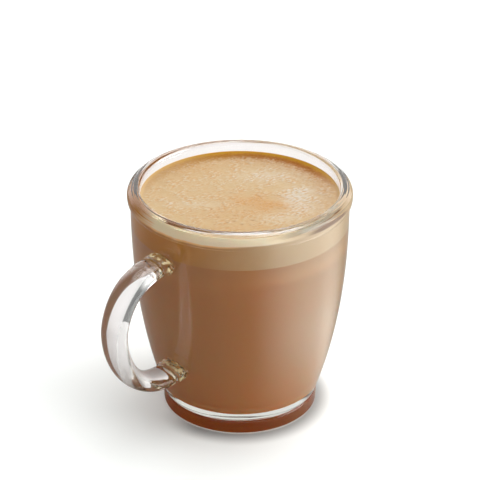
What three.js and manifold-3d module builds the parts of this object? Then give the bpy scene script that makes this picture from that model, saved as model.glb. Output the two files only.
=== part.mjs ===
// A flat white in a clear glass mug: the glass with its stuck-on handle, the milk coffee and the foam.
// Millimetres, +Z up. The origin is the centre of the foot's underside, and the handle points along -X.
import * as THREE from "three";
import { mergeVertices } from "three/addons/utils/BufferGeometryUtils.js";
import Module from "manifold-3d";

// Rim: a rounded lip whose crest is near its inner edge, with its widest ring low down above an undercut
const RIM_RADIUS = 41.25;
const MUG_HEIGHT = 89.3;
const LIP_TOP_RADIUS = 37.6;
const LIP_RISE = 3.4;
const LIP_UNDERCUT = 3;
const LIP_INNER_DROP = 2.2;

// Wall: straight below the rim, drawing in faster and faster towards the waist
const WALL_RADIUS = 40.1;
const WAIST_RADIUS = 29.4;
const WAIST_HEIGHT = 7.1;
const TAPER_POWER = 2.35;
const WALL_THICKNESS = 3.7;
const WALL_THICKENING = 0.5;

// Foot: a low ring below a groove, rounded at the heel
const FOOT_RADIUS = 29.05;
const HEEL_ROUND = 1;
const FOOT_SHOULDER_HEIGHT = 4.6;
const GROOVE_RADIUS = 28.3;
const GROOVE_HEIGHT = 5.6;
const WALL_EDGE_ROUND = 0.6;

// Inside of the glass: its floor, and the round corner that leads up to the wall
const FLOOR_HEIGHT = 7.8;
const FLOOR_CORNER_HEIGHT = 4.5;
const FLOOR_CORNER_WIDTH = 5.5;

// Handle: an oval rod whose centreline leaves the wall twice and stands furthest out between
const HANDLE_WIDTH = 11.5;
const HANDLE_THICKNESS = 7.2;
const HANDLE_REACH = 64.8;
const HANDLE_REACH_HEIGHT = 53;
const UPPER_JOIN_HEIGHT = 72.2;
const UPPER_JOIN_ANGLE = THREE.MathUtils.degToRad(7.5);
const UPPER_JOIN_PULL = 22.6;
const UPPER_BEND_PULL = 4.5;
const LOWER_JOIN_HEIGHT = 27.3;
const LOWER_JOIN_ANGLE = THREE.MathUtils.degToRad(-19.4);
const LOWER_JOIN_PULL = 19;
const LOWER_BEND_PULL = 15.8;
const HANDLE_EMBED = 1.6;

// Each end of the handle is a pad pressed on the wall, then a slight neck
const PAD_SWELL = 0.07;
const PAD_LENGTH = 3.4;
const NECK_DIP = 0.05;
const NECK_DISTANCE = 5.2;
const NECK_SPREAD = 1.1;

// Drink: coffee up to the foam's underside, foam up to the level
const FOAM_LEVEL = 85.1;
const FOAM_UNDERSIDE = 73.8;
const FIT_GAP = 0.3;

// Faceting
const TURN_SEGMENTS = 64;
const ARC_STEPS = 4;
const WALL_STEPS = 8;
const ROD_SIDES = 18;
const ROD_STEPS = 54;
const ROD_END_CROWDING = 0.6;
const WELD_DISTANCE = 1e-3;

const widestHeight = MUG_HEIGHT - LIP_RISE;
const undercutHeight = widestHeight - LIP_UNDERCUT;
const wallEdgeHeight = GROOVE_HEIGHT + WALL_EDGE_ROUND;

const outerRadius = (height) => {
  const share = Math.max(0, undercutHeight - height) / (undercutHeight - WAIST_HEIGHT);
  return WALL_RADIUS - (WALL_RADIUS - WAIST_RADIUS) * share ** TAPER_POWER;
};

const innerRadius = (height) => {
  const share = (undercutHeight - height) / (undercutHeight - WAIST_HEIGHT);
  return outerRadius(height) - WALL_THICKNESS - WALL_THICKENING * Math.max(0, share);
};

// Points of a quarter ellipse from one point to another. It leaves the first along the axis named,
// and meets the second square to that axis.
function quarter(from, to, leaves, steps = ARC_STEPS) {
  return Array.from({ length: steps + 1 }, (_, i) => {
    const turn = (i / steps) * (Math.PI / 2);
    const early = 1 - Math.cos(turn);
    const late = Math.sin(turn);
    const [acrossShare, upShare] = leaves === "radius" ? [late, early] : [early, late];
    return new THREE.Vector2(
      from.x + (to.x - from.x) * acrossShare,
      from.y + (to.y - from.y) * upShare,
    );
  });
}

// Points along a wall whose radius is a function of height.
function wallRun(radiusAt, fromHeight, toHeight, steps = WALL_STEPS) {
  return Array.from({ length: steps + 1 }, (_, i) => {
    const height = fromHeight + ((toHeight - fromHeight) * i) / steps;
    return new THREE.Vector2(radiusAt(height), height);
  });
}

// A turned solid about +Z from a profile of (radius, height) points, with repeated points dropped.
function turned(profile) {
  const points = profile.filter((p, i) => i === 0 || p.distanceTo(profile[i - 1]) > WELD_DISTANCE);
  return new THREE.LatheGeometry(points, TURN_SEGMENTS).rotateX(Math.PI / 2);
}

// The inside of the glass from the axis up to a height, drawn in by a gap.
function insideProfile(topHeight, gap) {
  const floor = FLOOR_HEIGHT + gap;
  const cornerHeight = FLOOR_HEIGHT + FLOOR_CORNER_HEIGHT;
  const cornerTop = new THREE.Vector2(innerRadius(cornerHeight) - gap, cornerHeight);
  const cornerFoot = new THREE.Vector2(cornerTop.x - FLOOR_CORNER_WIDTH, floor);
  return [
    new THREE.Vector2(0, floor),
    ...quarter(cornerFoot, cornerTop, "radius"),
    ...wallRun((height) => innerRadius(height) - gap, cornerHeight, topHeight),
  ];
}

function bowlGeometry() {
  const widest = new THREE.Vector2(RIM_RADIUS, widestHeight);
  const lipTop = new THREE.Vector2(LIP_TOP_RADIUS, MUG_HEIGHT);
  const lipInnerHeight = MUG_HEIGHT - LIP_INNER_DROP;
  const lipInner = new THREE.Vector2(innerRadius(lipInnerHeight), lipInnerHeight);
  const groove = new THREE.Vector2(GROOVE_RADIUS, GROOVE_HEIGHT);
  const wallEdge = new THREE.Vector2(outerRadius(wallEdgeHeight), wallEdgeHeight);
  return turned([
    new THREE.Vector2(0, 0),
    ...quarter(
      new THREE.Vector2(FOOT_RADIUS - HEEL_ROUND, 0),
      new THREE.Vector2(FOOT_RADIUS, HEEL_ROUND),
      "radius",
    ),
    ...quarter(new THREE.Vector2(FOOT_RADIUS, FOOT_SHOULDER_HEIGHT), groove, "height"),
    ...quarter(groove, wallEdge, "radius"),
    ...wallRun(outerRadius, wallEdgeHeight, undercutHeight),
    ...quarter(new THREE.Vector2(WALL_RADIUS, undercutHeight), widest, "radius"),
    ...quarter(widest, lipTop, "height"),
    ...quarter(lipTop, lipInner, "radius"),
    ...insideProfile(lipInnerHeight, 0).reverse(),
  ]);
}

// The handle's centreline in the plane y = 0, as two Bezier curves that meet upright at the furthest point.
function handleCentreline() {
  const at = (radius, height) => new THREE.Vector3(-radius, 0, height);
  const pulled = (radius, height, angle, pull) =>
    at(radius + pull * Math.cos(angle), height + pull * Math.sin(angle));
  const upperRadius = outerRadius(UPPER_JOIN_HEIGHT) - HANDLE_EMBED;
  const lowerRadius = outerRadius(LOWER_JOIN_HEIGHT) - HANDLE_EMBED;
  const path = new THREE.CurvePath();
  path.add(
    new THREE.CubicBezierCurve3(
      at(upperRadius, UPPER_JOIN_HEIGHT),
      pulled(upperRadius, UPPER_JOIN_HEIGHT, UPPER_JOIN_ANGLE, UPPER_JOIN_PULL),
      at(HANDLE_REACH, HANDLE_REACH_HEIGHT + UPPER_BEND_PULL),
      at(HANDLE_REACH, HANDLE_REACH_HEIGHT),
    ),
  );
  path.add(
    new THREE.CubicBezierCurve3(
      at(HANDLE_REACH, HANDLE_REACH_HEIGHT),
      at(HANDLE_REACH, HANDLE_REACH_HEIGHT - LOWER_BEND_PULL),
      pulled(lowerRadius, LOWER_JOIN_HEIGHT, LOWER_JOIN_ANGLE, LOWER_JOIN_PULL),
      at(lowerRadius, LOWER_JOIN_HEIGHT),
    ),
  );
  return path;
}

// How much the rod's section swells or narrows at a distance from its nearer end.
function sectionScale(fromEnd) {
  const padFade = THREE.MathUtils.smoothstep(fromEnd - HANDLE_EMBED, PAD_LENGTH, NECK_DISTANCE);
  const fromNeck = (fromEnd - HANDLE_EMBED - NECK_DISTANCE) / NECK_SPREAD;
  return 1 + PAD_SWELL * (1 - padFade) - NECK_DIP * Math.exp(-(fromNeck ** 2));
}

// A closed unit cylinder bent along the centreline, with its rings crowded towards both ends.
function handleGeometry() {
  const path = handleCentreline();
  const length = path.getLength();
  const rod = new THREE.CylinderGeometry(1, 1, 1, ROD_SIDES, ROD_STEPS);
  const place = rod.getAttribute("position");
  const point = new THREE.Vector3();
  const tangent = new THREE.Vector3();
  for (let i = 0; i < place.count; i++) {
    const even = place.getY(i) + 0.5;
    const share = even - (ROD_END_CROWDING * Math.sin(2 * Math.PI * even)) / (2 * Math.PI);
    const scale = sectionScale(length * Math.min(share, 1 - share));
    path.getPointAt(share, point);
    path.getTangentAt(share, tangent);
    const inPlane = (place.getX(i) * scale * HANDLE_THICKNESS) / 2;
    const across = (place.getZ(i) * scale * HANDLE_WIDTH) / 2;
    place.setXYZ(i, point.x - tangent.z * inPlane, across, point.z + tangent.x * inPlane);
  }
  return rod;
}

function coffeeGeometry() {
  const top = FOAM_UNDERSIDE - FIT_GAP / 2;
  return turned([...insideProfile(top, FIT_GAP), new THREE.Vector2(0, top)]);
}

function foamGeometry() {
  const bottom = FOAM_UNDERSIDE + FIT_GAP / 2;
  return turned([
    new THREE.Vector2(0, bottom),
    ...wallRun((height) => innerRadius(height) - FIT_GAP, bottom, FOAM_LEVEL, ARC_STEPS),
    new THREE.Vector2(0, FOAM_LEVEL),
  ]);
}

const wasm = await Module();
wasm.setup();

function solidOf(geometry) {
  const bare = geometry.clone();
  bare.deleteAttribute("normal");
  bare.deleteAttribute("uv");
  const welded = mergeVertices(bare, WELD_DISTANCE);
  return new wasm.Manifold(
    new wasm.Mesh({
      numProp: 3,
      vertProperties: welded.getAttribute("position").array,
      triVerts: new Uint32Array(welded.index.array),
    }),
  );
}

function geometryOf(solid) {
  const mesh = solid.getMesh();
  const geometry = new THREE.BufferGeometry();
  geometry.setAttribute("position", new THREE.BufferAttribute(mesh.vertProperties, 3));
  geometry.setIndex(new THREE.BufferAttribute(mesh.triVerts, 1));
  geometry.computeVertexNormals();
  return geometry;
}

function named(name, geometry, colour, roughness, extra = {}) {
  const material = new THREE.MeshStandardMaterial({ color: colour, roughness, metalness: 0, ...extra });
  const mesh = new THREE.Mesh(geometry, material);
  mesh.name = name;
  return mesh;
}

const glass = geometryOf(solidOf(bowlGeometry()).add(solidOf(handleGeometry())));

const flatWhite = new THREE.Group();
flatWhite.add(
  named("glass_mug", glass, 0xeef0ee, 0.03, { transparent: true, opacity: 0.35 }),
  named("coffee", coffeeGeometry(), 0x98684a, 0.5),
  named("foam", foamGeometry(), 0xd9b98c, 0.7),
);

export default flatWhite;
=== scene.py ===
"""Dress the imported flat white: a clear glass mug with a stuck-on handle, its milk coffee and its foam.

Sizes are in millimetres and become metres when a mesh is made. The mug's axis is +Z, its foot stands at
zero and its handle points along -X. Places on the foam and on the ground are given as the viewer sees
them: across, to the right of the axis, and away, beyond it.
"""

import logging
from dataclasses import dataclass, field
from enum import Enum
from math import cos, pi, radians, sin

import bpy
import numpy as np
from bpy.types import Material, NodeSocket, NodeTree, Object
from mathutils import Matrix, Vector


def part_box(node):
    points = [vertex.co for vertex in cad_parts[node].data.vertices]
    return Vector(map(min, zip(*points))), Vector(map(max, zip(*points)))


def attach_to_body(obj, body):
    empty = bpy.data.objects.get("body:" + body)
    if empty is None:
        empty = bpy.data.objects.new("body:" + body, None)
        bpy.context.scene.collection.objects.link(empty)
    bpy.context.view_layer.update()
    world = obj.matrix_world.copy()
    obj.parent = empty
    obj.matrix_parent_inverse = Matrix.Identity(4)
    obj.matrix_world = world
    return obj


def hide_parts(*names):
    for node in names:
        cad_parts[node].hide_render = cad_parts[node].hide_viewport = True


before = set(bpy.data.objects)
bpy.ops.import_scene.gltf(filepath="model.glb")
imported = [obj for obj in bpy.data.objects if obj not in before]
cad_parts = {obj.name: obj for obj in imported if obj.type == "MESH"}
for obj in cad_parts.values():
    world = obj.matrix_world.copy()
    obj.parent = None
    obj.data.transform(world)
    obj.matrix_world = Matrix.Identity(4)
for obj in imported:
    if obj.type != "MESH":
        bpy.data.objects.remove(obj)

LOG = logging.getLogger("flat_white")
MM = 0.001
BODY = "root"
VIEW_TURN = radians(-47.0)
SHARP_ANGLE = radians(40.0)

Array = np.ndarray
Triple = tuple[float, float, float]
Colour = Triple
Range = tuple[float, float]
Span = tuple[float, float, float, float]
Sockets = dict[str | int, object]
BLACK: Colour = (0.0, 0.0, 0.0)
WHITE: Colour = (1.0, 1.0, 1.0)


def solid_colour(colour: "Signal | Colour") -> "Signal | tuple[float, ...]":
    """Return a fixed colour with full alpha, and a varying one as it is."""
    return colour if isinstance(colour, Signal) else (*colour, 1.0)


def smoothstep(low: float, high: float, values: Array) -> Array:
    """Return the smooth rise 3t^2 - 2t^3, where t is the clipped share of the way from low to high."""
    share = np.clip((values - low) / (high - low), 0.0, 1.0)
    return share * share * (3.0 - 2.0 * share)


def from_view(across: Array, away: Array) -> tuple[Array, Array]:
    """Turn places that the viewer sees into the part's own x and y, by the view's azimuth."""
    cosine, sine = cos(VIEW_TURN), sin(VIEW_TURN)
    return across * cosine - away * sine, across * sine + away * cosine


def full_turn(sides: int) -> Array:
    """Return evenly spaced angles once round."""
    return np.arange(sides) * (2.0 * pi / sides)


def distances(points: Array) -> Array:
    """Return how far along a line each of its points is."""
    return np.concatenate([[0.0], np.cumsum(np.linalg.norm(np.diff(points, axis=0), axis=1))])


class Leaves(Enum):
    """The axis along which a quarter ellipse leaves its first point."""

    RADIUS = "radius"
    HEIGHT = "height"


def quarter(start: tuple[float, float], end: tuple[float, float], leaves: Leaves, steps: int) -> Array:
    """Return points of a quarter ellipse: one coordinate goes as sin t, the other as 1 - cos t.

    Args:
        start: First (radius, height) point.
        end: Last point, which the curve meets square to the way it left.
        leaves: The axis along which the curve leaves its first point.
        steps: The number of stretches.

    Returns:
        An array of (radius, height) rows.
    """
    turn = np.linspace(0.0, pi / 2, steps + 1)
    late, early = np.sin(turn), 1.0 - np.cos(turn)
    across, up = (late, early) if leaves is Leaves.RADIUS else (early, late)
    return np.column_stack([start[0] + (end[0] - start[0]) * across, start[1] + (end[1] - start[1]) * up])


def joined_profile(*stretches: Array) -> Array:
    """Join stretches of (radius, height) rows end to end, and drop repeated points."""
    points = np.vstack(stretches)
    apart = np.linalg.norm(np.diff(points, axis=0), axis=1) > 1e-4
    return points[np.concatenate([[True], apart])]


@dataclass
class Shell:
    """A surface as vertices in millimetres and faces, with named values at its vertices."""

    vertices: Array
    faces: list[list[int]]
    values: dict[str, Array] = field(default_factory=dict)

    @classmethod
    def stacked(cls, rings: Array, first: list[float], last: list[float]) -> "Shell":
        """Close a stack of rings with a pole before the first and one after the last.

        Args:
            rings: Points by ring and by side.
            first: The pole before the first ring.
            last: The pole after the last ring.

        Returns:
            The shell: quads between rings and triangles at the poles, with vertices as pole, rings, pole.
        """
        count, sides = rings.shape[:2]
        index = 1 + np.arange(count * sides).reshape(count, sides)
        beside = np.roll(index, -1, axis=1)
        quads = np.stack([index[:-1], beside[:-1], beside[1:], index[1:]], axis=-1).reshape(-1, 4)
        start = np.stack([np.zeros(sides, int), beside[0], index[0]], axis=-1)
        end = np.stack([np.full(sides, count * sides + 1), index[-1], beside[-1]], axis=-1)
        vertices = np.vstack([first, rings.reshape(-1, 3), last])
        return cls(vertices, quads.tolist() + start.tolist() + end.tolist())

    def to_object(self, name: str, sharp_angle: float = SHARP_ANGLE) -> Object:
        """Make a smooth mesh object with its place in its mesh.

        Args:
            name: The object's name.
            sharp_angle: Edges that turn by more than this stay sharp.

        Returns:
            The new object, linked to the scene.
        """
        mesh = bpy.data.meshes.new(name)
        mesh.from_pydata((self.vertices * MM).tolist(), [], self.faces)
        mesh.validate()
        for label, numbers in self.values.items():
            attribute = mesh.attributes.new(label, "FLOAT", "POINT")
            attribute.data.foreach_set("value", numbers.astype(np.float32))
        mesh.shade_smooth()
        mesh.set_sharp_from_angle(angle=sharp_angle)
        made = bpy.data.objects.new(name, mesh)
        bpy.context.scene.collection.objects.link(made)
        return made


def rings_about_axis(radius: Array, height: Array, sides: int) -> Array:
    """Return the ring of points (r cos a, r sin a, h) for each radius r and height h."""
    angle, radius = full_turn(sides), radius[:, None]
    return np.stack([radius * np.cos(angle), radius * np.sin(angle), height[:, None] + 0.0 * angle], axis=-1)


def turned(profile: Array, sides: int) -> Shell:
    """Turn (radius, height) rows, from the axis up the outside and back to it, into a closed shell."""
    rings = rings_about_axis(*profile[1:-1].T, sides)
    return Shell.stacked(rings, [0.0, 0.0, profile[0, 1]], [0.0, 0.0, profile[-1, 1]])


@dataclass(frozen=True)
class Signal:
    """A value inside a shader tree. Arithmetic on it adds Math nodes."""

    graph: "Graph"
    socket: NodeSocket | None

    def _math(self, operation: str, first: "Signal | float", second: "Signal | float") -> "Signal":
        """Return the value of a Math node with two operands."""
        return self.graph.node("ShaderNodeMath", {"operation": operation}, {0: first, 1: second})

    def __add__(self, other: "Signal | float") -> "Signal":
        """Add."""
        return self._math("ADD", self, other)

    def __sub__(self, other: "Signal | float") -> "Signal":
        """Subtract."""
        return self._math("SUBTRACT", self, other)

    def __mul__(self, other: "Signal | float") -> "Signal":
        """Multiply."""
        return self._math("MULTIPLY", self, other)

    def __truediv__(self, other: "Signal | float") -> "Signal":
        """Divide."""
        return self._math("DIVIDE", self, other)

    def __rsub__(self, other: float) -> "Signal":
        """Subtract from a number."""
        return self._math("SUBTRACT", other, self)

    __radd__ = __add__
    __rmul__ = __mul__

    def rise(self, low: float, high: float) -> "Signal":
        """Return the smooth rise from 0 at low to 1 at high, which is above low."""
        settings = {"interpolation_type": "SMOOTHSTEP", "clamp": True}
        return self.graph.node("ShaderNodeMapRange", settings, {0: self, 1: low, 2: high})

    def fall(self, low: float, high: float) -> "Signal":
        """Return the smooth fall from 1 at low to 0 at high."""
        return 1.0 - self.rise(low, high)

    def band(self, span: Span) -> "Signal":
        """Return the product of a rise over a span's first two values and a fall over its last two."""
        return self.rise(*span[:2]) * self.fall(*span[2:])


class Graph:
    """Writes the nodes of one material or of the world."""

    def __init__(self, tree: NodeTree) -> None:
        """Start from an empty tree."""
        self.tree = tree
        tree.nodes.clear()

    def node(
        self, kind: str, settings: Sockets | None = None, inputs: Sockets | None = None, output: str | int = 0
    ) -> Signal:
        """Add a node.

        Args:
            kind: The node's type.
            settings: Its properties, set before its inputs.
            inputs: Values or signals for its sockets, by name or place.
            output: The socket to return, by name or place.

        Returns:
            The signal of that socket.
        """
        made = self.tree.nodes.new(kind)
        for name, value in (settings or {}).items():
            setattr(made, name, value)
        for name, value in (inputs or {}).items():
            if isinstance(value, Signal):
                self.tree.links.new(value.socket, made.inputs[name])
            else:
                made.inputs[name].default_value = value
        return Signal(self, made.outputs[output] if made.outputs else None)

    def place(self) -> Signal:
        """Return the point on the piece, in metres."""
        return self.node("ShaderNodeTexCoord", output="Object")

    def height_mm(self) -> Signal:
        """Return the point's height in millimetres."""
        return self.node("ShaderNodeSeparateXYZ", inputs={0: self.place()}, output="Z") * (1.0 / MM)

    def towards(self, way: Signal, direction: Vector) -> Signal:
        """Return the dot product of a signal and a fixed direction."""
        inputs = {0: way, 1: direction}
        return self.node("ShaderNodeVectorMath", {"operation": "DOT_PRODUCT"}, inputs, output="Value")

    def view_mm(self) -> tuple[Signal, Signal]:
        """Return how far the point is to the viewer's right of the axis and beyond it, in millimetres."""
        ways = (Vector((*from_view(*way), 0.0)) / MM for way in ((1.0, 0.0), (0.0, 1.0)))
        return tuple(self.towards(self.place(), way) for way in ways)

    def stored(self, name: str) -> Signal:
        """Return a value that the mesh holds at its vertices."""
        return self.node("ShaderNodeAttribute", {"attribute_name": name}, output="Fac")

    def cloud(self, size_mm: float, detail: float = 2.0) -> Signal:
        """Return fractal noise from 0 to 1, with largest lumps of a size and some finer octaves."""
        inputs = {"Vector": self.place(), "Scale": 1.0 / (size_mm * MM), "Detail": detail}
        return self.node("ShaderNodeTexNoise", inputs=inputs)

    def blend(self, share: Signal, first: Signal | Colour, second: Signal | Colour) -> Signal:
        """Mix two colours by the share of the second."""
        inputs = {0: share, 6: solid_colour(first), 7: solid_colour(second)}
        return self.node("ShaderNodeMix", {"data_type": "RGBA"}, inputs, output=2)

    def bump(self, height: Signal, depth_mm: float, strength: float) -> Signal:
        """Return a normal tilted by a share of a height field, whose 1 stands a depth above its 0."""
        inputs = {"Height": height, "Distance": depth_mm * MM, "Strength": strength}
        return self.node("ShaderNodeBump", inputs=inputs)

    def ray(self, question: str) -> Signal:
        """Return what the renderer knows of the ray that meets the surface."""
        return self.node("ShaderNodeLightPath", output=question)

    def skin(
        self, colour: Signal | Colour, roughness: float, specular: float = 0.5, **others: object
    ) -> Signal:
        """Return a Principled shader with a base colour, a roughness, a shine and other named sockets."""
        others |= {"Base Color": solid_colour(colour), "Roughness": roughness, "Specular IOR Level": specular}
        return self.node("ShaderNodeBsdfPrincipled", inputs=others)

    def mix(self, share: Signal, first: Signal, second: Signal) -> Signal:
        """Mix two shaders by the share of the second."""
        return self.node("ShaderNodeMixShader", inputs={0: share, 1: first, 2: second})

    def finish(self, **shaders: Signal) -> None:
        """Lead shaders to the material's sockets of the same names."""
        self.node("ShaderNodeOutputMaterial", inputs=shaders)


def new_material(name: str) -> tuple[Material, Graph]:
    """Return a material with an empty tree, and the graph that writes its nodes."""
    material = bpy.data.materials.new(name)
    material.use_nodes = True
    return material, Graph(material.node_tree)


@dataclass(frozen=True)
class Scatter:
    """How light spreads in milky stuff: its share, and its reach as a scale times red, green and blue."""

    share: float
    reach: Colour
    scale: float

    def sockets(self) -> Sockets:
        """Return the values for a Principled shader's sockets."""
        names = ("Subsurface Weight", "Subsurface Radius", "Subsurface Scale")
        return dict(zip(names, (self.share, self.reach, self.scale * MM)))


@dataclass(frozen=True)
class ClearGlass:
    """Clear pressed glass: polished, rippled, greyer with its depth, and creased at the pads, with a painted
    golden glow and painted glints there.

    The pads, where the handle is stuck on, lie in a span out from the wall, close to the height of a join.
    """

    tint: Colour = (0.97, 0.965, 0.96)
    depth_tint: Colour = (0.51, 0.52, 0.48)
    depth_density: float = 28.0
    painted_pad_glow: Colour = (0.99, 0.93, 0.6)
    pad_span: Span = (0.6, 1.0, 3.2, 4.6)
    pad_half_height: float = 4.0
    pad_fade: float = 2.0
    painted_glint: Colour = (0.85, 0.7, 0.38)
    glint_size: float = 1.8
    glint_edge: Range = (0.44, 0.66)
    glint_strength: float = 0.6
    crease_size: float = 1.6
    crease: float = 4.0
    foot_shadow_tint: Colour = (0.55, 0.56, 0.54)
    foot_heights: Range = (6.0, 7.0)
    index: float = 1.5
    ripple_size: float = 9.0
    ripple_depth: float = 0.06

    def material(self, lower: Range, upper: Range) -> Material:
        """Make the material: glass that takes up light along its depth and lets light for shadows through.

        Args:
            lower: The (radius, height) where the handle's lower end meets the wall.
            upper: The same for its upper end.

        Returns:
            The material.
        """
        material, graph = new_material("clear_glass")
        height = graph.height_mm()
        slope = (upper[0] - lower[0]) / (upper[1] - lower[1])
        out = graph.towards(graph.place(), Vector((-1.0 / MM, 0.0, 0.0)))
        beyond = out - (height - lower[1]) * slope - lower[0]
        start, end = lower[1] + self.pad_half_height, upper[1] - self.pad_half_height
        between = height.band((start, start + self.pad_fade, end - self.pad_fade, end))
        pads = beyond.band(self.pad_span) * (1.0 - between)
        ripple = graph.cloud(self.ripple_size, detail=0.0)
        creases = graph.cloud(self.crease_size, detail=1.0) * pads * self.crease
        waves = graph.bump(ripple + creases, self.ripple_depth, 1.0)
        clear = {"IOR": self.index, "Transmission Weight": 1.0, "Normal": waves}
        # painted light: the golden cast on the pads stands for light that the handle carries to them
        glass = graph.skin(graph.blend(pads, self.tint, self.painted_pad_glow), roughness=0.0, **clear)
        # painted glints: golden specks that stand for light trapped in the creased pads
        painted_glints = graph.cloud(self.glint_size).rise(*self.glint_edge) * pads * self.glint_strength
        glinting = graph.mix(painted_glints, glass, graph.skin(self.painted_glint, roughness=0.5))
        dim = graph.node("ShaderNodeBsdfTransparent", inputs={0: solid_colour(self.foot_shadow_tint)})
        open_way = graph.node("ShaderNodeBsdfTransparent")
        cast = graph.mix(height.rise(*self.foot_heights), dim, open_way)
        depth = {"Color": solid_colour(self.depth_tint), "Density": self.depth_density}
        absorbing = graph.node("ShaderNodeVolumeAbsorption", inputs=depth)
        graph.finish(Surface=graph.mix(graph.ray("Is Shadow Ray"), glinting, cast), Volume=absorbing)
        return material


@dataclass(frozen=True)
class MilkCoffee:
    """Milky coffee behind glass: opaque, soft inside, warmer at the bottom, and paler at the viewer's right
    as painted light.
    """

    body: Colour = (0.527, 0.238, 0.091)
    under_foam: Colour = (0.47, 0.205, 0.079)
    # painted light: lit copies of the body and deep colours, shown towards the viewer's right where the light
    # falls
    painted_lit_colour: Colour = (0.5, 0.31, 0.16)
    deep: Colour = (0.81, 0.175, 0.015)
    painted_lit_deep: Colour = (1.0, 0.33, 0.045)
    painted_light_across: Range = (0.0, 36.0)
    deep_heights: Range = (7.4, 10.0)
    warm_heights: Range = (10.0, 36.0)
    warm_share: float = 0.14
    matte_depths: Range = (0.5, 9.0)
    cloud_size: float = 22.0
    cloud_lift: float = 5.0
    cloud_shift: float = 8.0
    scatter: Scatter = Scatter(1.0, (1.0, 0.5, 0.3), 9.0)

    def material(self, top: float) -> Material:
        """Make the material.

        Args:
            top: The height where the foam starts.

        Returns:
            The material.
        """
        material, graph = new_material("milk_coffee")
        height = graph.height_mm()
        cloud = graph.cloud(self.cloud_size) - 0.5
        warmth = (height + cloud * self.cloud_lift).rise(*self.warm_heights) * self.warm_share
        risen = height.rise(*self.deep_heights) * (1.0 - self.warm_share) + warmth
        inner = (top - height).rise(*self.matte_depths)
        # painted light: paler towards the viewer's right, the side that the light falls on
        painted_light_share = (graph.view_mm()[0] + cloud * self.cloud_shift).rise(*self.painted_light_across)
        body = graph.blend(painted_light_share, graph.blend(inner, self.under_foam, self.body), self.painted_lit_colour)
        deep = graph.blend(painted_light_share, self.deep, self.painted_lit_deep)
        colour = graph.blend(risen, deep, body)
        plain = {"roughness": 0.7, "specular": 0.0}
        matte = graph.skin(colour, **plain)
        soft = graph.skin(colour, **plain, **self.scatter.sockets())
        graph.finish(Surface=graph.mix(inner, matte, soft))
        return material


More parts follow.
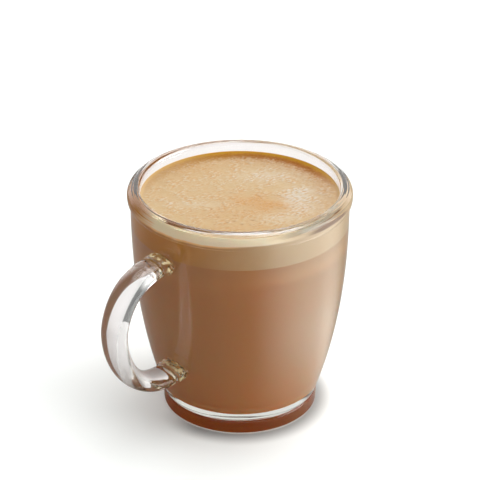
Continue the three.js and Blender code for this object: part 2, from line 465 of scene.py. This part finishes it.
@dataclass(frozen=True)
class MilkFoam:
    """Fine tan foam: paler where milk shows, orange where it thins, golden brown at the glass, pitted.

    On the top, the grain's ridges are paler as painted highlight and its hollows oranger as painted shade.
    The side is paler at the viewer's right as painted light, and along its top carries a painted caustic
    band, a painted highlight and painted reflections. The spans across the view and down from the top say
    where each mark of the side rises and falls.
    """

    tan: Colour = (0.485, 0.343, 0.187)
    pale: Colour = (0.54, 0.49, 0.41)
    warm: Colour = (0.48, 0.27, 0.11)
    golden: Colour = (0.42, 0.21, 0.016)
    brown: Colour = (0.25, 0.083, 0.008)
    pit: Colour = (0.37, 0.19, 0.08)
    top_scatter: Scatter = Scatter(0.4, (1.0, 0.7, 0.45), 1.0)
    grain_size: float = 0.7
    grain_depth: float = 0.08
    grain_strength: float = 0.5
    # the side colour and the lit side colour under it are shaded and lit copies: painted light from the
    # viewer's right
    side: Colour = (0.5, 0.19, 0.025)
    painted_lit_side: Colour = (0.545, 0.395, 0.235)
    painted_light_across: Range = (-32.0, 24.0)
    side_scatter: Scatter = Scatter(0.4, (1.0, 0.6, 0.4), 1.5)
    mottle_size: float = 6.0
    mottle_shift: float = 8.0
    stain: Colour = (0.485, 0.165, 0.025)
    stain_edge: Range = (0.2, 0.75)
    stain_fade: float = 0.16
    # painted caustic: a cream band along the top of the side, with a golden edge, for light that the rim's
    # bead focuses on the foam
    painted_caustic: Colour = (0.94, 0.82, 0.61)
    painted_caustic_shaded: Colour = (0.95, 0.8, 0.56)
    shaded_across: Range = (-28.0, 2.0)
    caustic_depths: Range = (0.85, 1.6)
    caustic_waver: float = 0.6
    caustic_across: Span = (-36.0, -28.0, 6.0, 28.0)
    caustic_thinning: float = 0.35
    thinner_across: Range = (-33.0, -12.0)
    caustic_thickening: float = 0.45
    thicker_across: Range = (-10.0, 5.0)
    painted_caustic_edge: Colour = (0.98, 0.56, 0.2)
    edge_across: Span = (-36.0, -28.0, -10.0, 4.0)
    edge_strength: float = 3.2
    # painted highlight: a paler band near the top of the side
    painted_highlight: Colour = (0.93, 0.8, 0.6)
    highlight_depths: Span = (0.45, 0.7, 1.0, 1.3)
    highlight_across: Span = (-16.0, -2.0, 6.0, 18.0)
    # painted reflections: the grey top and the dark streak at the right stand for lines that the rim's glass
    # mirrors
    painted_grey_reflection: Colour = (0.3, 0.3, 0.25)
    grey_depths: Range = (0.4, 0.7)
    grey_across: Range = (12.0, 24.0)
    grey_strength: float = 0.7
    painted_dark_streak: Colour = (0.2, 0.1, 0.05)
    dark_streak_depths: Span = (0.6, 0.8, 1.1, 1.4)
    dark_streak_across: Span = (21.0, 27.0, 34.0, 36.0)

    def material(self, level: float) -> Material:
        """Make the material from the values stored in the foam's mesh.

        Args:
            level: The height of the foam's top.

        Returns:
            The material.
        """
        material, graph = new_material("milk_foam")
        side = self._side(graph, level - graph.height_mm())
        graph.finish(Surface=graph.mix(graph.stored("wall"), self._top(graph), side))
        return material

    def _top(self, graph: Graph) -> Signal:
        """Return the shader of the top, coloured by the mesh's values and finely grained."""
        crema_and_shade = graph.blend(graph.stored("crema_depth_and_shade"), self.golden, self.brown)
        colour = self.tan
        for name, mark in (("pale", self.pale), ("warm", self.warm), ("crema_and_shade", crema_and_shade), ("pit", self.pit)):
            colour = graph.blend(graph.stored(name), colour, mark)
        grain = graph.bump(graph.cloud(self.grain_size), self.grain_depth, self.grain_strength)
        inside = self.top_scatter.sockets()
        return graph.skin(colour, roughness=0.6, specular=0.06, Normal=grain, **inside)

    def _side(self, graph: Graph, depth: Signal) -> Signal:
        """Return the shader of the side: paler to the right as painted light, with a painted caustic, a
        painted highlight and painted reflections along its top.

        Args:
            graph: The material's graph.
            depth: How far a point is below the level.

        Returns:
            The shader. The painted caustic band has a golden edge at the left and a painted highlight near
            the middle, and at the right the top is grey and streaked as painted reflections.
        """
        mottle = graph.cloud(self.mottle_size, detail=3.0)
        waver = mottle - 0.5
        across = graph.view_mm()[0]
        stained = (mottle - depth * self.stain_fade).rise(*self.stain_edge)
        # painted light: paler towards the viewer's right
        painted_light_share = (across + waver * self.mottle_shift).rise(*self.painted_light_across)
        thinner = across.fall(*self.thinner_across) * self.caustic_thinning
        thicker = across.fall(*self.thicker_across) * self.caustic_thickening
        # painted caustic along the top of the side, with a golden edge at the left
        painted_caustic = (depth + waver * self.caustic_waver + thinner - thicker).fall(*self.caustic_depths)
        caustic_colour = graph.blend(across.rise(*self.shaded_across), self.painted_caustic_shaded, self.painted_caustic)
        edge = painted_caustic * (1.0 - painted_caustic) * self.edge_strength * across.band(self.edge_across)
        # painted reflection: greyer top at the right
        grey = depth.fall(*self.grey_depths) * across.rise(*self.grey_across) * self.grey_strength
        colour = graph.blend(stained, self.side, self.stain)
        for share, mark in (
            (painted_light_share, self.painted_lit_side),
            (painted_caustic * across.band(self.caustic_across), caustic_colour),
            (edge, self.painted_caustic_edge),
            # painted highlight near the top of the side
            (depth.band(self.highlight_depths) * across.band(self.highlight_across), self.painted_highlight),
            (grey, self.painted_grey_reflection),
            # painted reflection: a dark streak at the right
            (depth.band(self.dark_streak_depths) * across.band(self.dark_streak_across), self.painted_dark_streak),
        ):
            colour = graph.blend(share, colour, mark)
        return graph.skin(colour, roughness=0.7, specular=0.0, **self.side_scatter.sockets())


@dataclass(frozen=True)
class PaleGround:
    """The plain white ground under the mug, which also stands for surroundings that the glass mirrors.

    A card is a bright field at the viewer's right that shows only in the glass. The contact span is measured
    out from the foot's edge.
    """

    white: Colour = (0.805, 0.828, 0.813)
    lift: float = 0.125
    behind_glass: Colour = (0.79, 0.775, 0.775)
    reflected: Colour = (0.32, 0.31, 0.29)
    card: Colour = (0.97, 1.0, 0.96)
    card_glow: float = 2.5
    card_across: Range = (0.1, 0.95)
    card_away: Range = (0.0, 0.7)
    card_distances: Range = (20.0, 90.0)
    contact_shade: float = 0.58
    contact_span: Span = (-1.5, 0.0, -0.5, 8.0)
    contact_across: Range = (-1.0, -0.5)

    def material(self, foot_radius: float) -> Material:
        """Make the material: matte white that glows a little, darker near the foot and by way of the glass.

        Args:
            foot_radius: The radius of the foot that stands on it.

        Returns:
            The material.
        """
        material, graph = new_material("pale_ground")
        across, away = graph.view_mm()
        distance = graph.node("ShaderNodeMath", {"operation": "SQRT"}, {0: across * across + away * away})
        rightward, backward = across / distance, away / distance
        shade = (distance - foot_radius).band(self.contact_span) * rightward.rise(*self.contact_across)
        shade = shade * self.contact_shade
        card = rightward.rise(*self.card_across) * backward.fall(*self.card_away)
        card = card * distance.rise(*self.card_distances)
        glow = {"Emission Color": graph.blend(shade, WHITE, BLACK), "Emission Strength": self.lift}
        shine = {"Emission Color": graph.blend(card, BLACK, self.card), "Emission Strength": self.card_glow}
        plain = {"roughness": 0.9, "specular": 0.0}
        seen = graph.skin(graph.blend(shade, self.white, BLACK), **plain, **glow)
        behind = graph.skin(self.behind_glass, **plain)
        mirrored = graph.skin(self.reflected, **plain, **shine)
        through = graph.ray("Is Transmission Ray")
        first_sight = graph.ray("Diffuse Depth").fall(0.0, 1.0)
        open_view = graph.mix(through * first_sight, seen, behind)
        graph.finish(Surface=graph.mix(graph.ray("Is Glossy Ray") * (1.0 - through), open_view, mirrored))
        return material


@dataclass
class MugForm:
    """The mug's sizes, and the radius of its wall outside and inside at any height."""

    rim_radius: float
    height: float
    foam_level: float
    foam_underside: float
    lip_top_radius: float = 37.6
    lip_rise: float = 3.4
    lip_undercut: float = 3.0
    lip_inner_drop: float = 2.2
    wall_radius: float = 40.1
    waist_radius: float = 29.4
    waist_height: float = 7.1
    taper_power: float = 2.35
    wall_thickness: float = 3.7
    wall_thickening: float = 0.5
    foot_radius: float = 29.05
    heel_round: float = 1.0
    foot_shoulder: float = 4.6
    groove_radius: float = 28.3
    groove_height: float = 5.6
    groove_round: float = 0.1
    wall_edge_round: float = 0.6
    floor_height: float = 7.8
    corner_height: float = 4.5
    corner_width: float = 5.5

    @classmethod
    def from_frame(cls) -> "MugForm":
        """Take the rim's radius, the height and the drink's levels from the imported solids."""
        glass_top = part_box("glass_mug")[1] / MM
        foam_low, foam_high = (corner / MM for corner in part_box("foam"))
        return cls(glass_top.y, glass_top.z, foam_high.z, foam_low.z)

    @property
    def widest_height(self) -> float:
        """Return the height of the rim's widest ring."""
        return self.height - self.lip_rise

    @property
    def undercut_height(self) -> float:
        """Return the height where the wall ends and the rim's bead starts."""
        return self.widest_height - self.lip_undercut

    def _fall(self, height: Array) -> Array:
        """Return how far down a height is, from 0 at the bead to 1 at the waist."""
        top = self.undercut_height
        return np.clip((top - height) / (top - self.waist_height), 0.0, None)

    def outer_radius(self, height: Array) -> Array:
        """Return the wall's outer radius, which falls by a power of the share of the way down."""
        taper = self.wall_radius - self.waist_radius
        return self.wall_radius - taper * self._fall(height) ** self.taper_power

    def inner_radius(self, height: Array) -> Array:
        """Return the wall's inner radius: the outer one less a wall that thickens downwards."""
        return self.outer_radius(height) - self.wall_thickness - self.wall_thickening * self._fall(height)

    def inside_profile(self, top: float, spread: float, steps: int) -> Array:
        """Return the inside of the glass from the axis up to a height.

        Args:
            top: The height to stop at.
            spread: How far the profile is moved out into the glass.
            steps: The number of stretches along the wall.

        Returns:
            (radius, height) rows: the floor, a quarter ellipse for the corner, and the wall.
        """
        corner_top = self.floor_height + self.corner_height
        corner_radius = float(self.inner_radius(corner_top)) + spread
        floor = self.floor_height - spread
        inner_edge = (corner_radius - self.corner_width, floor)
        corner = quarter(inner_edge, (corner_radius, corner_top), Leaves.RADIUS, 20)
        heights = np.linspace(corner_top, top, steps + 1)
        wall = np.column_stack([self.inner_radius(heights) + spread, heights])
        return joined_profile(np.array([[0.0, floor]]), corner, wall)


@dataclass
class GlassMug:
    """The glass: a turned bowl with a rounded rim and a foot ring, and an oval handle fused to it."""

    form: MugForm
    finish: ClearGlass
    sides: int = 256
    handle_width: float = 11.5
    handle_thickness: float = 7.2
    handle_reach: float = 64.8
    handle_reach_height: float = 53.0
    upper_join: float = 72.2
    upper_angle: float = radians(7.5)
    upper_pull: float = 22.6
    upper_bend: float = 4.5
    lower_join: float = 27.3
    lower_angle: float = radians(-19.4)
    lower_pull: float = 19.0
    lower_bend: float = 15.8
    embed: float = 1.6
    pad_swell: float = 0.07
    pad_length: float = 3.4
    neck_dip: float = 0.05
    neck_distance: float = 5.2
    neck_spread: float = 1.1
    crumple: float = 0.012
    ripple: float = 0.035
    rod_rings: int = 260
    rod_sides: int = 72

    def bowl(self) -> Shell:
        """Return the bowl: foot, groove, drawn-in wall, rounded rim and inside, turned about the axis."""
        form = self.form
        widest = (form.rim_radius, form.widest_height)
        lip_top = (form.lip_top_radius, form.height)
        inner_height = form.height - form.lip_inner_drop
        lip_inner = (float(form.inner_radius(inner_height)), inner_height)
        groove = np.array([form.groove_radius, form.groove_height])
        groove_low, groove_high = (groove + [form.groove_round, way * form.groove_round] for way in (-1, 1))
        heel = form.foot_radius - form.heel_round
        wall_edge = form.groove_height + form.wall_edge_round
        heights = np.linspace(wall_edge, form.undercut_height, 60)
        profile = joined_profile(
            np.zeros((1, 2)),
            np.column_stack([np.linspace(4.0, heel, 8), np.zeros(8)]),
            quarter((heel, 0.0), (form.foot_radius, form.heel_round), Leaves.RADIUS, 12),
            quarter((form.foot_radius, form.foot_shoulder), groove_low, Leaves.HEIGHT, 12),
            quarter(groove_low, groove, Leaves.RADIUS, 4),
            quarter(groove, groove_high, Leaves.HEIGHT, 4),
            quarter(groove_high, (float(form.outer_radius(wall_edge)), wall_edge), Leaves.RADIUS, 10),
            np.column_stack([form.outer_radius(heights), heights]),
            quarter((form.wall_radius, form.undercut_height), widest, Leaves.RADIUS, 30),
            quarter(widest, lip_top, Leaves.HEIGHT, 40),
            quarter(lip_top, lip_inner, Leaves.RADIUS, 40),
            form.inside_profile(inner_height, 0.0, 50)[::-1],
        )
        return self.rippled(turned(profile, self.sides), profile)

    def rippled(self, shell: Shell, profile: Array) -> Shell:
        """Put the fine ripples of a fire-polished rim on the turned bowl.

        Args:
            shell: The turned bowl.
            profile: The (radius, height) rows that it was turned from.

        Returns:
            The bowl, whose rim is moved square to the profile by two sine waves of the distance along it. The
            waves wander as they go round, and are strongest at the viewer's left and right.
        """
        along = distances(profile)
        heading = np.gradient(profile, along, axis=0)[1:-1]
        on_rim = smoothstep(self.form.widest_height, self.form.widest_height + 1.5, profile[1:-1, 1])
        angle = full_turn(self.sides)
        wander = 0.4 * np.sin(2 * angle + 0.7) + 0.25 * np.sin(5 * angle)
        phase = (along[1:-1, None] + wander) * (2.0 * pi)
        strength = self.ripple * (0.3 + 0.7 * np.cos(angle - VIEW_TURN) ** 2)
        move = strength * on_rim[:, None] * (np.sin(phase / 1.3) + 0.7 * np.sin(phase / 0.8 + 1.0))
        out, up = move * heading[:, 1:], -move * heading[:, :1]
        shift = np.stack([out * np.cos(angle), out * np.sin(angle), up], axis=-1)
        shell.vertices[1:-1] += shift.reshape(-1, 3)
        return shell

    def joins(self) -> list[Range]:
        """Return the (radius, height) where the handle's lower and upper ends meet the wall."""
        return [(float(self.form.outer_radius(z)), z) for z in (self.lower_join, self.upper_join)]

    def centreline(self) -> tuple[Array, Array, Array]:
        """Return the handle's centreline, two cubic Bezier curves that meet upright at the furthest point.

        Returns:
            Evenly spaced points (out, height), unit directions, and distances along the line.
        """
        lower, upper = (np.array([radius - self.embed, height]) for radius, height in self.joins())
        reach = np.array([self.handle_reach, self.handle_reach_height])
        upper_lead, lower_lead = (
            np.array([cos(angle), sin(angle)]) * pull
            for angle, pull in ((self.upper_angle, self.upper_pull), (self.lower_angle, self.lower_pull))
        )
        share = np.linspace(0.0, 1.0, 400)[:, None]
        weights = [(1 - share) ** 3, 3 * (1 - share) ** 2 * share, 3 * (1 - share) * share**2, share**3]
        curves = [
            (upper, upper + upper_lead, reach + [0.0, self.upper_bend], reach),
            (reach, reach - [0.0, self.lower_bend], lower + lower_lead, lower),
        ]
        halves = [sum(w * p for w, p in zip(weights, curve)) for curve in curves]
        line = np.vstack([halves[0], halves[1][1:]])
        along = distances(line)
        even = np.linspace(0.0, along[-1], self.rod_rings)
        points = np.column_stack([np.interp(even, along, line[:, k]) for k in (0, 1)])
        heading = np.gradient(points, even, axis=0)
        return points, heading / np.linalg.norm(heading, axis=1, keepdims=True), even

    def section_scale(self, from_wall: Array, angle: Array) -> Array:
        """Return how the handle's section swells at the pads, narrows at the necks and crumples on the pads.

        Args:
            from_wall: Distance from the wall at each ring.
            angle: The angle round the section.

        Returns:
            A factor for each ring and side: 1, plus a pad that fades out, less a Gaussian neck, plus a few
            sine waves where the hot pad was pressed on the wall.
        """
        pad = 1.0 - smoothstep(self.pad_length, self.neck_distance, from_wall)
        neck = np.exp(-(((from_wall - self.neck_distance) / self.neck_spread) ** 2))
        waves = ((5, 2.1, 0.0), (9, -3.2, 1.3), (14, 4.7, 0.4))
        wave = sum(np.sin(count * angle + twist * from_wall + start) for count, twist, start in waves)
        return 1.0 + pad * (self.pad_swell + self.crumple * wave) - self.neck_dip * neck

    def handle(self) -> Shell:
        """Return the handle: an oval of changing size carried along the centreline, closed at both ends."""
        points, heading, along = self.centreline()
        angle = full_turn(self.rod_sides)
        from_wall = np.minimum(along, along[-1] - along)[:, None] - self.embed
        scale = self.section_scale(from_wall, angle)
        in_plane = scale * np.cos(angle) * self.handle_thickness / 2
        across = scale * np.sin(angle) * self.handle_width / 2
        out = points[:, :1] - heading[:, 1:] * in_plane
        up = points[:, 1:] + heading[:, :1] * in_plane
        rings = np.stack([-out, -across, up], axis=-1)
        ends = [[-points[end, 0], 0.0, points[end, 1]] for end in (0, -1)]
        return Shell.stacked(rings, *ends)

    def build(self) -> Object:
        """Fuse bowl and handle into one closed piece of glass and dress it.

        Returns:
            The finished piece.
        """
        piece = self.bowl().to_object("bowl_blank")
        handle = self.handle().to_object("handle_blank")
        join = piece.modifiers.new("join", "BOOLEAN")
        join.operation = "UNION"
        join.solver = "EXACT"
        join.object = handle
        fused = piece.evaluated_get(bpy.context.evaluated_depsgraph_get())
        mesh = bpy.data.meshes.new_from_object(fused)
        piece.modifiers.clear()
        piece.data = mesh
        bpy.data.objects.remove(handle)
        piece.name = mesh.name = "mug_glass"
        mesh.shade_smooth()
        mesh.set_sharp_from_angle(angle=SHARP_ANGLE)
        mesh.materials.clear()
        return attach(piece, self.finish.material(*self.joins()), "glass_mug")


@dataclass
class Coffee:
    """The milk coffee: the inside of the glass up to the foam, reaching just into the wall."""

    form: MugForm
    finish: MilkCoffee
    overlap: float = 0.14
    sides: int = 192

    def build(self) -> Object:
        """Turn the drink's profile and dress it.

        Returns:
            The finished piece.
        """
        top = self.form.foam_underside
        profile = joined_profile(self.form.inside_profile(top, self.overlap, 40), np.array([[0.0, top]]))
        piece = turned(profile, self.sides).to_object("drink_coffee")
        return attach(piece, self.finish.material(top), "coffee")


@dataclass
class Grain:
    """Smooth random fields at given places, from seeded noise over a square, filtered by wavelength."""

    seed: int
    across: Array
    away: Array
    side: float = 80.0
    cells: int = 640
    sharpness: float = 3.0

    def __post_init__(self) -> None:
        """Make the random source."""
        self.random = np.random.default_rng(self.seed)

    def field(self, wavelength: float, stretch: float = 1.0, turn: float = 0.0) -> Array:
        """Return noise of about one wavelength, with zero mean and unit spread over the square.

        Args:
            wavelength: The distance between neighbouring lumps.
            stretch: How much longer the lumps are along one way than square to it.
            turn: The angle of that way from across the view.

        Returns:
            White noise times exp(-s (k L - 1)^2), for sharpness s, wave number k and wavelength L, read at
            each place between its nearest four cells.
        """
        wave = np.fft.fftfreq(self.cells, self.side / self.cells)
        cosine, sine = cos(turn), sin(turn)
        along = wave[None, :] * cosine + wave[:, None] * sine
        square = wave[:, None] * cosine - wave[None, :] * sine
        number = np.hypot(along * stretch, square)
        spectrum = np.fft.fft2(self.random.standard_normal((self.cells, self.cells)))
        kept = np.exp(-((number * wavelength - 1.0) ** 2) * self.sharpness)
        smooth = np.real(np.fft.ifft2(spectrum * kept))
        values = (smooth - smooth.mean()) / smooth.std()
        column = (self.across / self.side + 0.5) * (self.cells - 1)
        row = (self.away / self.side + 0.5) * (self.cells - 1)
        left = np.clip(column.astype(int), 0, self.cells - 2)
        low = np.clip(row.astype(int), 0, self.cells - 2)
        u, v = column - left, row - low
        near = values[low, left] * (1 - u) + values[low, left + 1] * u
        far = values[low + 1, left] * (1 - u) + values[low + 1, left + 1] * u
        return near * (1 - v) + far * v


@dataclass(frozen=True)
class Patch:
    """A soft oval mark on the foam, as the viewer sees it."""

    across: float
    away: float
    width: float
    depth: float
    strength: float

    def share(self, across: Array, away: Array) -> Array:
        """Return the mark's strength at places: a Gaussian of the scaled distance."""
        distance = ((across - self.across) / self.width) ** 2 + ((away - self.away) / self.depth) ** 2
        return self.strength * np.exp(-distance)


@dataclass
class Foam:
    """The foam: a finely grained top with burst bubbles and a golden edge, and its side against the glass."""

    form: MugForm
    finish: MilkFoam
    overlap: float = 0.11
    sink: float = 0.6
    rings: int = 128
    sides: int = 600
    meniscus_rise: float = 0.45
    meniscus_width: float = 1.6
    swell: float = 0.03
    grain_depth: float = 0.032
    # painted highlight on the grain's ridges and painted shade in its hollows
    ridge_highlight: float = 0.22
    hollow_shade: float = 0.3
    pit_depth: float = 0.25
    tiny_pits: int = 70
    seed: int = 5
    pale_marks: tuple[Patch, ...] = (
        Patch(20.0, -4.0, 5.0, 8.0, 0.85),
        Patch(29.0, 0.0, 7.0, 13.0, 0.25),
        Patch(23.5, 3.5, 2.6, 2.0, 0.6),
        Patch(11.0, 15.5, 13.0, 6.0, 0.38),
        Patch(14.0, -18.5, 7.0, 4.5, 0.35),
        Patch(23.0, -12.5, 6.0, 4.5, 0.3),
        Patch(-14.0, -8.0, 12.0, 2.6, 0.25),
    )
    warm_marks: tuple[Patch, ...] = (
        Patch(12.0, -9.0, 9.0, 6.0, 0.75),
        Patch(2.0, -5.0, 9.0, 6.0, 0.5),
        Patch(0.0, -27.0, 18.0, 3.0, 0.4),
        Patch(-4.0, -17.0, 13.0, 6.0, 0.32),
        Patch(-14.0, 21.0, 12.0, 6.0, 0.25),
    )
    burst_bubbles: tuple[Patch, ...] = (
        Patch(-10.6, -11.8, 0.5, 0.5, 0.8),
        Patch(-8.0, -18.3, 0.5, 0.45, 0.8),
        Patch(-17.0, -18.5, 0.4, 0.4, 0.5),
        Patch(-4.7, -22.4, 0.5, 0.45, 0.7),
        Patch(-2.2, -21.5, 0.5, 0.4, 0.7),
        Patch(0.5, -24.0, 0.7, 0.4, 0.6),
        Patch(4.4, -20.7, 0.9, 0.45, 0.9),
        Patch(8.8, -22.4, 0.5, 0.4, 0.7),
        Patch(19.0, -10.2, 0.45, 0.4, 0.7),
        Patch(25.2, -10.2, 0.5, 0.4, 0.7),
        Patch(19.7, -16.7, 0.5, 0.4, 0.6),
    )

    def top(self) -> tuple[Array, dict[str, Array]]:
        """Return the foam's top as rings of points, with the values that colour it.

        The height is the level plus long swells, fine grain and a meniscus that rises as the square of the
        nearness to the glass, less a soft pit for each burst bubble.

        Returns:
            Points in the part's frame, from the edge inwards, and values by name.
        """
        edge = float(self.form.inner_radius(self.form.foam_level)) + self.overlap
        share = np.linspace(1.0, 0.0, self.rings, endpoint=False) ** 0.8
        angle = full_turn(self.sides)
        radius = edge * share[:, None] + 0.0 * angle
        across, away = radius * np.cos(angle - VIEW_TURN), radius * np.sin(angle - VIEW_TURN)
        grain = Grain(self.seed, across, away)
        inside = edge - radius
        open_foam = smoothstep(0.4, 3.0, inside)
        pits = self._marks(self.burst_bubbles + self._tiny_pits(grain), grain) * open_foam
        streaks = grain.field(wavelength=1.6, stretch=2.0, turn=radians(40.0))
        specks = grain.field(wavelength=1.1)
        drift = grain.field(wavelength=9.0)
        lively = open_foam * np.clip(0.65 + 0.35 * drift, 0.2, 1.3)
        relief = (streaks + 0.7 * specks) * lively
        height = (
            self.form.foam_level
            + self.swell * drift * open_foam
            + self.grain_depth * relief
            + self.meniscus_rise * (1.0 - np.clip(inside / self.meniscus_width, 0.0, 1.0)) ** 2
            - self.pit_depth * pits
        )
        x, y = from_view(across, away)
        values = {
            "pit": pits * 0.7,
            # pale and warm also carry painted highlight on the grain's ridges and painted shade in its
            # hollows
            "pale": self._marks(self.pale_marks, grain) * (0.9 + 0.1 * streaks)
            + self.ridge_highlight * np.clip(relief, 0.0, 2.0),
            "warm": self._marks(self.warm_marks, grain) * (0.85 + 0.15 * drift)
            + self.hollow_shade * np.clip(-relief, 0.0, 2.0),
            **self._crema(grain, inside),
        }
        clipped = {name: np.clip(numbers, 0.0, 1.0) for name, numbers in values.items()}
        return np.stack([x, y, height], axis=-1), clipped

    def _tiny_pits(self, grain: Grain) -> tuple[Patch, ...]:
        """Return the small burst bubbles, drawn at random on the near part of the foam."""
        across = grain.random.normal(2.0, 14.0, self.tiny_pits)
        away = grain.random.normal(-14.0, 8.0, self.tiny_pits)
        sizes = grain.random.uniform(0.22, 0.4, self.tiny_pits)
        depths = grain.random.uniform(0.15, 0.5, self.tiny_pits)
        return tuple(Patch(u, v, 1.3 * s, s, d) for u, v, s, d in zip(across, away, sizes, depths))

    @staticmethod
    def _marks(marks: tuple[Patch, ...], grain: Grain) -> Array:
        """Return the sum of soft marks at the places that the grain is read at."""
        return np.sum([mark.share(grain.across, grain.away) for mark in marks], axis=0)

    def _crema(self, grain: Grain, inside: Array) -> dict[str, Array]:
        """Return the golden ring at the glass: wide at the back, thin at the sides, none at the front.

        Args:
            grain: The random fields and their places.
            inside: Distance in from the glass.

        Returns:
            How much of the ring shows, and how dark it is: golden at the glass, browner inwards, with a
            ragged edge and a faint brown haze beyond it, the crema's own at the back and painted shade at the
            right, where the ring is also browner as painted shade.
        """
        bearing = np.arctan2(grain.away, grain.across)
        back = smoothstep(-0.3, 0.7, np.sin(bearing))
        right = smoothstep(0.1, 0.9, np.cos(bearing - 0.55))
        ragged = 0.6 * grain.field(1.3) + 0.4 * grain.field(4.0)
        width = (1.3 + 4.3 * back) * (1.0 + 0.2 * ragged)
        ring = 1.0 - smoothstep(0.5, 1.6, inside / width)
        # a faint brown fringe beyond the ring: the crema's own at the back, painted shade at the right
        fringe_and_shade = (0.3 * back + 0.25 * right) * np.exp(-((inside / 9.0) ** 2)) * (1.0 + 0.3 * ragged)
        # browner inwards, and more so at the right as painted shade
        depth = smoothstep(0.05, 0.5, inside / width) * (0.6 + 0.4 * right)
        left = smoothstep(0.2, 0.9, -np.cos(bearing))
        return {"crema_and_shade": np.maximum(ring * back * (1.0 - 0.5 * left), fringe_and_shade), "crema_depth_and_shade": depth}

    def build(self) -> Object:
        """Close the top with a side and an underside, and dress the piece.

        Returns:
            The finished piece.
        """
        form = self.form
        top, values = self.top()
        heights = np.linspace(form.foam_underside - self.sink, form.foam_level + self.meniscus_rise - 0.6, 24)
        side = rings_about_axis(form.inner_radius(heights) + self.overlap, heights, self.sides)
        middle = float(top[-1, :, 2].mean())
        shell = Shell.stacked(np.vstack([side, top]), [0.0, 0.0, heights[0]], [0.0, 0.0, middle])
        on_side = 1 + len(side) * self.sides
        for name, marks in values.items():
            shell.values[name] = np.concatenate([np.zeros(on_side), marks.ravel(), marks[-1, :1]])
        shell.values["wall"] = (np.arange(len(shell.vertices)) < on_side + self.sides).astype(float)
        piece = shell.to_object("drink_foam", radians(60.0))
        return attach(piece, self.finish.material(form.foam_level), "foam")


def attach(piece: Object, material: Material, node: str) -> Object:
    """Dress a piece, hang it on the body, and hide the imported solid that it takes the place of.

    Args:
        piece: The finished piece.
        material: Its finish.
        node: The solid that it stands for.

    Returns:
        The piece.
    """
    piece.data.materials.append(material)
    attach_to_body(piece, BODY)
    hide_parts(node)
    return piece


@dataclass(frozen=True)
class Softbox:
    """A round soft light far away: its direction as across, away and up, its two angles and its radiance."""

    direction: Triple
    angles: Range
    radiance: float

    def glow(self, graph: Graph, way: Signal) -> Signal:
        """Return the light from a direction, full inside the inner angle and fading to 0 at the outer one."""
        across, away, up = self.direction
        centre = Vector((*from_view(across, away), up)).normalized()
        high, low = (cos(radians(angle)) for angle in self.angles)
        return graph.towards(way, centre).rise(low, high) * self.radiance


@dataclass
class Studio:
    """White ground, soft lights overhead, at the right, behind and in front, an even fill, and the camera."""

    ground: PaleGround
    foot_radius: float
    softboxes: tuple[Softbox, ...] = (
        Softbox((0.3, 0.12, 1.0), (13.0, 24.0), 5.2),
        Softbox((1.0, -0.1, 0.35), (16.0, 28.0), 5.0),
        Softbox((0.0, 1.0, 0.2), (35.0, 60.0), 1.5),
        Softbox((-0.1, -1.0, 0.3), (25.0, 55.0), 0.5),
    )
    ground_drop: float = 0.25
    ground_half_side: float = 6000.0
    target_height: float = 66.33
    distance: float = 750.0
    elevation: float = radians(27.74)
    lens: float = 152.36
    sensor: float = 36.0
    fill: float = 0.28
    glass_bounces: int = 40

    def build_ground(self) -> None:
        """Lay the ground just below the foot, so that air stays between them."""
        reach = np.array([[-1, -1], [1, -1], [1, 1], [-1, 1]]) * self.ground_half_side
        corners = np.column_stack([reach, np.full(4, -self.ground_drop)])
        floor = Shell(corners, [[0, 1, 2, 3]]).to_object("ground")
        floor.data.materials.append(self.ground.material(self.foot_radius))

    def build_light(self) -> None:
        """Light the scene by an even fill and the softboxes, with enough bounces for the glass."""
        world = bpy.data.worlds.new("studio")
        world.use_nodes = True
        bpy.context.scene.world = world
        graph = Graph(world.node_tree)
        way = graph.node("ShaderNodeTexCoord", output="Generated")
        radiance = sum((box.glow(graph, way) for box in self.softboxes), self.fill)
        inputs = {"Color": solid_colour(WHITE), "Strength": radiance}
        light = graph.node("ShaderNodeBackground", inputs=inputs)
        graph.node("ShaderNodeOutputWorld", inputs={"Surface": light})
        bpy.context.scene.view_settings.view_transform = "Standard"
        for limit in ("max_bounces", "glossy_bounces", "transmission_bounces"):
            setattr(bpy.context.scene.cycles, limit, self.glass_bounces)

    def build_camera(self) -> None:
        """Set the camera at the viewer's place, raised and looking at a point on the axis."""
        back = Vector((*from_view(0.0, -cos(self.elevation)), sin(self.elevation)))
        data = bpy.data.cameras.new("viewer")
        data.lens = self.lens
        data.sensor_width = self.sensor
        data.clip_end = 100.0
        camera = bpy.data.objects.new("viewer", data)
        bpy.context.scene.collection.objects.link(camera)
        camera.location = Vector((0.0, 0.0, self.target_height * MM)) + back * (self.distance * MM)
        camera.rotation_euler = (-back).to_track_quat("-Z", "Y").to_euler()
        bpy.context.scene.camera = camera


def main() -> None:
    """Build the studio and the three pieces in order, and report each."""
    logging.basicConfig(level=logging.INFO, format="%(name)s: %(message)s")
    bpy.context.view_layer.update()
    form = MugForm.from_frame()
    studio = Studio(PaleGround(), form.foot_radius)
    studio.build_camera()
    studio.build_ground()
    studio.build_light()
    for maker in (GlassMug(form, ClearGlass()), Coffee(form, MilkCoffee()), Foam(form, MilkFoam())):
        piece = maker.build()
        LOG.info("%s: %d faces", piece.name, len(piece.data.polygons))


if __name__ == "__main__":
    main()
